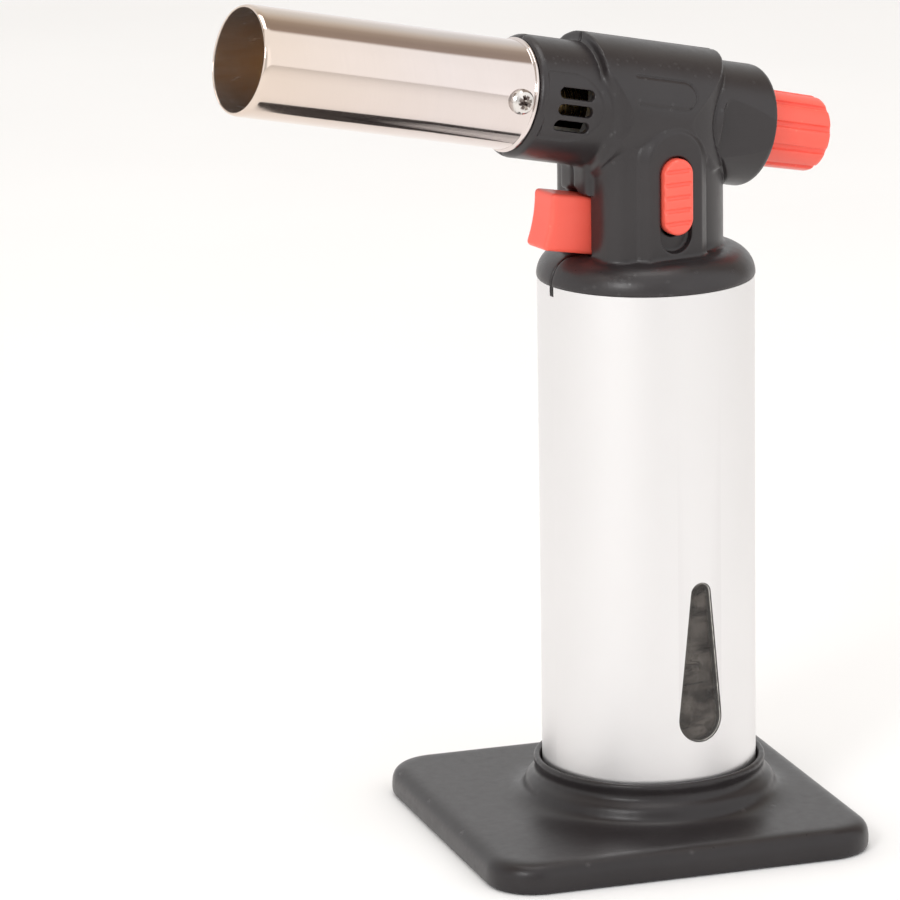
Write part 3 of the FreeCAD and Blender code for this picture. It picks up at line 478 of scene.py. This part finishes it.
def shell(node, name):
    me = voxel_copy(node, 0.27)
    # wide soft blends where the barrel meets the upright body
    def weight(c):
        s, y, t = bar(c)
        r = np.hypot(y, t)
        x, z = c[:, 0], c[:, 2]
        w = np.full(len(c), 0.10)
        outer = (r > 12.2) | (z < 157)
        front = np.exp(-((x - 18.0) / 3.6) ** 2) * (z > 152) * outer * (s < 20.5)
        rear = np.exp(-((x + 16.5) / 3.0) ** 2) * (z > 175)
        foot = np.exp(-((z - 137.3) / 1.6) ** 2) * (np.hypot(x, y) < 21)
        front *= 1 - 0.6 * smoothstep(179, 186, z)
        thumb = np.exp(-((s + 13.2) / 1.5) ** 2) * (np.abs(y) > 10.5) * (r > 12.3) * (z > 150)
        w = np.maximum(w, 0.6 * thumb)
        w = np.maximum(w, 0.7 * front)
        w = np.maximum(w, 0.6 * rear)
        w = np.maximum(w, 0.5 * foot)
        return w
    relax(me, 34, weight)
    co = coords(me) / MM
    s, y, t = bar(co)
    r = np.hypot(y, t)
    # true the turned surfaces of the barrel after the smoothing
    for rad, on in ((16.4, (s > -19) & (s < 19) & (co[:, 2] > 160)), (14.1, (s > -26.3) & (s < -16)),
                    (14.0, (s > 19) & (s < 34.4))):
        k = (1 - smoothstep(0.07, 0.16, np.abs(r - rad))) * on
        dr = (rad - r) * k
        co[:, 1] += dr * y / np.maximum(r, 1e-6)
        tz = dr * t / np.maximum(r, 1e-6)
        co[:, 0] -= math.sin(TILT) * tz
        co[:, 2] += math.cos(TILT) * tz
    s, y, t = bar(co)
    r = np.hypot(y, t)
    # crease round the foot of the collar, where it meets the upright body
    cr = [(s0, th) for s0, th in CREASE]
    ang = np.degrees(np.arctan2(t, np.abs(y)))
    sc = np.interp(ang, [q[1] for q in cr], [q[0] for q in cr])
    near = np.exp(-((s - sc) / 0.42) ** 2) * (s < -4) * (r > 12.6) * (r < 16.5)
    dep = 0.40 * near
    co[:, 1] -= dep * np.where(r > 1e-6, y / r, 0)
    tz = dep * np.where(r > 1e-6, t / r, 0)
    co[:, 0] += math.sin(TILT) * tz
    co[:, 2] -= math.cos(TILT) * tz
    # engraved open outline on the side of the head
    d = seg_dist(s, t, U_PATH)
    on = (np.abs(y) > 12.0) & (r > 15.2) & (s > -5) & (s < 13)
    dep = 0.34 * np.exp(-(d / 0.30) ** 2) * on
    co[:, 1] -= np.sign(y) * dep
    put_coords(me, co * MM)
    return add(name, me, "torch", "black_plastic", node)


shell("left_housing", "housing_left_shell")
shell("right_housing", "housing_right_shell")

# ---------------------------------------------------------- smaller mouldings
me = relax(voxel_copy("stand", 0.48), 22)
add("stand_moulding", me, "stand_group", "stand_plastic", "stand")
me = relax(voxel_copy("trigger", 0.20), 16)
add("trigger_moulding", me, "trigger_group", "coral_plastic", "trigger")
me = relax(voxel_copy("lock_button", 0.16), 7)
add("lock_slider_moulding", me, "lock_group", "coral_plastic", "lock_button")
me = relax(voxel_copy("flame_knob", 0.20), 8)
add("flame_knob_moulding", me, "knob_group", "coral_plastic", "flame_knob")

# coil springs, copied from their CAD nodes onto the torch body
for node, name, joint, base, keep in (("valve_spring", "valve_spring_coil", "stem_press", (-0.001, 0, 0.1161), 0.783),
                                      ("fill_valve_spring", "fill_spring_coil", "fill_press", (0, 0, 0.01905), 0.75)):
    coil = add(name, NODES[node].data.copy(), "torch", "steel", node)
    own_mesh(coil)


# ------------------------------------------------------------------ flame tube
def lathe_bar(prof, seg):
    """Closed lathe about the barrel axis from (s, r) points in mm."""
    c, s_ = math.cos(TILT), math.sin(TILT)
    verts, faces = [], []
    n = len(prof)
    for i in range(seg):
        a = 2 * math.pi * i / seg
        for s, r in prof:
            y, t = r * math.cos(a), r * math.sin(a)
            verts.append(((s * c - t * s_) * MM, y * MM, (s * s_ + t * c + BAR_Z) * MM))
    for i in range(seg):
        j = (i + 1) % seg
        for k in range(n):
            l = (k + 1) % n
            faces.append((i * n + k, j * n + k, j * n + l, i * n + l))
    m = bpy.data.meshes.new("lathe")
    m.from_pydata(verts, [], faces)
    m.update()
    return m


def fix_normals(m):
    import bmesh
    b = bmesh.new()
    b.from_mesh(m)
    bmesh.ops.recalc_face_normals(b, faces=b.faces)
    b.to_mesh(m)
    b.free()
    return m


R0, R1, S0, S1 = 11.6, 12.4, 31.9, 105.7
prof = [(S0, R0), (S0, R1 - 0.1), (S0 + 0.1, R1)]
prof += [(S0 + 0.4, R1), (36.1, R1), (36.15, R1 + 0.45), (36.25, R1 + 0.56), (36.45, R1 + 0.6), (36.7, R1 + 0.58), (36.88, R1 + 0.45),
         (36.98, R1 + 0.2), (37.05, R1 + 0.04), (37.3, R1), (60, R1), (90, R1), (S1 - 2.6, R1), (S1 - 1.75, R1)]
for a in range(8, 91, 8):
    q = math.radians(a)
    prof.append((S1 - 1.7 + 1.7 * math.sin(q), R1 - 0.62 + 0.62 * math.cos(q)))
prof += [(S1, R1 - 0.66), (S1 - 0.04, R0 + 0.06), (S1 - 0.14, R0)]
n_out = len(prof) - 1
prof += [(S1 - 0.6, R0), (S1 - 2.4, R0), (90, R0), (60, R0), (S0 + 0.4, R0)]
me = fix_normals(lathe_bar(prof, 200))
tube = add("flame_tube_rolled", me, "torch", "stainless", "nozzle_tube")
me.materials.append(M["stainless_inside"])
n_p = len(prof)
for f in me.polygons:
    ks = sorted(v % n_p for v in f.vertices)
    if min(ks) >= n_out or (ks[0] == 0 and max(ks) >= n_out):
        f.material_index = 1

# ------------------------------------------------------------ floor and light
bm = bpy.data.meshes.new("floor")
F = 4.0
bm.from_pydata([(-F, -F, 0), (F, -F, 0), (F, F, 0), (-F, F, 0)], [], [(0, 1, 2, 3)])
floor = bpy.data.objects.new("floor", bm)
SC.collection.objects.link(floor)
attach(floor, "stand_group")  # the stand stays on the floor, and the torch comes up out of it
t = Tree("floor_paper")
n = t.noise(1400, 4)
col = t.mix(t.ramp(t.noise(6, 3), (0.3, 0.0), (0.7, 1.0)), (0.975, 0.975, 0.975), (0.955, 0.955, 0.955))
t.set(color=col, rough=t.range(n, 0.3, 0.7, 0.75, 0.85), spec=0.05)
bm.materials.append(t.m)

w = bpy.data.worlds.new("studio")
SC.world = w
w.use_nodes = True
nt = w.node_tree
nt.nodes.clear()
wo = nt.nodes.new("ShaderNodeOutputWorld")
bg = nt.nodes.new("ShaderNodeBackground")
tc = nt.nodes.new("ShaderNodeTexCoord")
nt.links.new(bg.outputs[0], wo.inputs[0])


def wdot(v):
    d = nt.nodes.new("ShaderNodeVectorMath")
    d.operation = "DOT_PRODUCT"
    nt.links.new(tc.outputs["Generated"], d.inputs[0])
    d.inputs[1].default_value = v
    return d.outputs["Value"]


def wmath(op, a, b=0.0):
    m = nt.nodes.new("ShaderNodeMath")
    m.operation = op
    for i, v in enumerate((a, b)):
        if isinstance(v, (int, float)):
            m.inputs[i].default_value = v
        else:
            nt.links.new(v, m.inputs[i])
    return m.outputs[0]


# angle round the flame tube's axis, 0 towards the front side, a quarter up overhead
N0 = Vector((-0.036, 0.986, 0.162)).normalized()
A0 = Vector((math.cos(TILT), 0, math.sin(TILT)))
U0 = A0.cross(N0).normalized()
ang = wmath("ARCTAN2", wdot(U0), wdot(N0))
deg = wmath("MULTIPLY_ADD", ang, 0.5 / math.pi)
deg.node.inputs[2].default_value = 0.5
rp = nt.nodes.new("ShaderNodeValToRGB")
nt.links.new(deg, rp.inputs[0])
stops = [(-180, 1, 1, 1), (64, 1, 1, 1), (70, 0.34, 0.28, 0.24), (82, 0.33, 0.272, 0.23), (95, 0.39, 0.33, 0.275),
         (108, 0.58, 0.53, 0.465), (126, 0.80, 0.80, 0.78), (150, 1, 1, 1), (180, 1, 1, 1)]
e = rp.color_ramp.elements
while len(e) > 1:
    e.remove(e[-1])
for i, (a, r, g, b) in enumerate(stops):
    p = a / 360.0 + 0.5
    el = e[0] if i == 0 else e.new(p)
    el.position = p
    el.color = (r, g, b, 1)
# softer and brighter panels round the room, level with the canister
az = wmath("ARCTAN2", wdot((0, 1, 0)), wdot((1, 0, 0)))
azd = wmath("MULTIPLY_ADD", az, 0.5 / math.pi)
azd.node.inputs[2].default_value = 0.5
rz = nt.nodes.new("ShaderNodeValToRGB")
nt.links.new(azd, rz.inputs[0])
e = rz.color_ramp.elements
while len(e) > 1:
    e.remove(e[-1])
for i, (a, v) in enumerate([(-180, 0.86), (-60, 0.82), (-12, 0.86), (4, 1.02), (36, 1.04), (54, 0.62), (80, 0.62),
                            (92, 1.15), (108, 1.15), (119, 1.02), (142, 1.02), (166, 0.90), (180, 0.86)]):
    el = e[0] if i == 0 else e.new(a / 360.0 + 0.5)
    el.position = a / 360.0 + 0.5
    el.color = (v, v, v, 1)
lev = wmath("ABSOLUTE", wdot((0, 0, 1)))
k = nt.nodes.new("ShaderNodeMapRange")
k.interpolation_type = "SMOOTHSTEP"
nt.links.new(lev, k.inputs[0])
for i, v in zip((1, 2, 3, 4), (0.42, 0.72, 1.0, 0.0)):
    k.inputs[i].default_value = v
mx = nt.nodes.new("ShaderNodeMix")
mx.data_type = "RGBA"
mx.blend_type = "MULTIPLY"
nt.links.new(k.outputs[0], mx.inputs[0])
nt.links.new(rp.outputs[0], mx.inputs[6])
nt.links.new(rz.outputs[0], mx.inputs[7])
nt.links.new(mx.outputs[2], bg.inputs["Color"])
bg.inputs["Strength"].default_value = 1.15


def area(name, loc, target, size, power, color=(1, 1, 1)):
    L = bpy.data.lights.new(name, "AREA")
    L.shape = "RECTANGLE"
    L.size, L.size_y = size
    L.energy = power
    L.color = color
    o = bpy.data.objects.new(name, L)
    SC.collection.objects.link(o)
    o.location = loc
    o.rotation_mode = "QUATERNION"
    o.rotation_quaternion = (Vector(target) - Vector(loc)).to_track_quat("-Z", "Y")
    return o


C0 = (0.02, 0, 0.12)
area("key_left", (1.10, 0.70, 0.86), C0, (0.34, 0.34), 4.5)
area("top", (0.0, -0.1, 1.6), C0, (0.9, 0.9), 7)

# ---------------------------------------------------------------------- camera
yaw, pitch, roll = 1.06766547, 0.251070107, -0.0156629720
fwd = Vector((-math.cos(yaw) * math.cos(pitch), -math.sin(yaw) * math.cos(pitch), -math.sin(pitch)))
right = fwd.cross(Vector((0, 0, 1))).normalized()
up = right.cross(fwd)
r2 = math.cos(roll) * right + math.sin(roll) * up
u2 = -math.sin(roll) * right + math.cos(roll) * up
cd = bpy.data.cameras.new("camera")
cd.sensor_width = 36.0
cd.lens = 5640.33448 / 900.0 * 36.0
cd.clip_start, cd.clip_end = 0.02, 50
cam = bpy.data.objects.new("camera", cd)
SC.collection.objects.link(cam)
cam.matrix_world = Matrix(((r2.x, u2.x, -fwd.x, 0.649075945), (r2.y, u2.y, -fwd.y, 1.08489642),
                           (r2.z, u2.z, -fwd.z, 0.413685171), (0, 0, 0, 1)))
SC.camera = cam
SC.view_settings.view_transform = "Standard"
SC.cycles.glossy_bounces = 10
